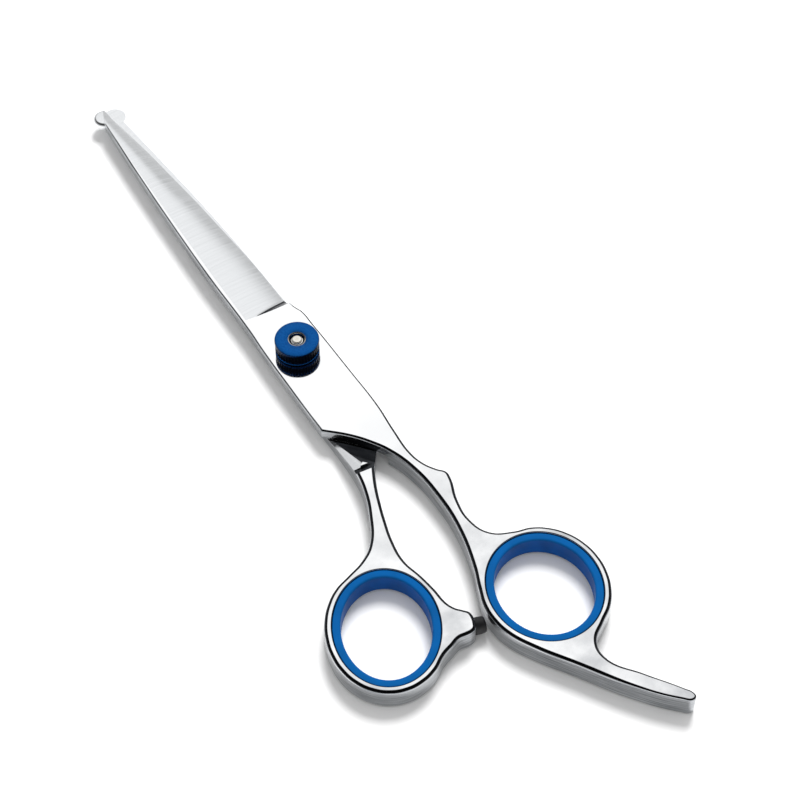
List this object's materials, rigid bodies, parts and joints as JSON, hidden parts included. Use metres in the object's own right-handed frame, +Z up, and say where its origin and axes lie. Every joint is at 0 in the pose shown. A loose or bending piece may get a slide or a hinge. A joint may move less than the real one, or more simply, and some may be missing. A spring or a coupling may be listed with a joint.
{
  "type": "straight ball-tip pet grooming scissors",
  "caption": "Shut grooming shears with slim blades ending in flat round safety tips, offset handles, sleeved finger rings, a finger rest, a rubber stop and a knurled tension knob.",
  "frame": {"origin": "centre of the flat underside of the pivot stud's head, on the plane the scissors lie on", "axes": "+Z up along the pivot axis towards the tension knob, +Y along the blades towards the tips, +X towards the front blade's cutting edge side, the finger ring's side"},
  "size_m": [0.0535, 0.1903, 0.0085],
  "materials": {
    "polished_steel": "mirror-polished stainless steel with satin ground blade faces",
    "turned_steel": "turned and polished stainless steel",
    "spring_steel": "tempered spring steel",
    "blue_plastic": "glossy moulded plastic",
    "blue_anodised": "anodised, finely knurled",
    "black_rubber": "matt moulded rubber",
    "white_nylon": "matt bearing nylon"
  },
  "bodies": {
    "front_half": {"front_blade": "polished_steel", "finger_ring_insert": "blue_plastic", "pivot_stud": "turned_steel", "friction_washer": "white_nylon", "spring_washer": "spring_steel"},
    "rear_half": {"rear_blade": "polished_steel", "thumb_ring_insert": "blue_plastic", "stop_bumper": "black_rubber", "pivot_bushing": "white_nylon"},
    "knob": {"tension_knob": "blue_anodised"}
  },
  "joints": [
    {"name": "blade_pivot", "type": "hinge", "parent": "front_half", "child": "rear_half", "pos_m": [0, 0, 0.0026], "axis": [0, 0, -1], "range_deg": [0, 65]},
    {"name": "knob_turn", "type": "hinge", "parent": "front_half", "child": "knob", "pos_m": [0, 0, 0.0069], "axis": [0, 0, 1], "range_deg": [-90, 90]}
  ]
}
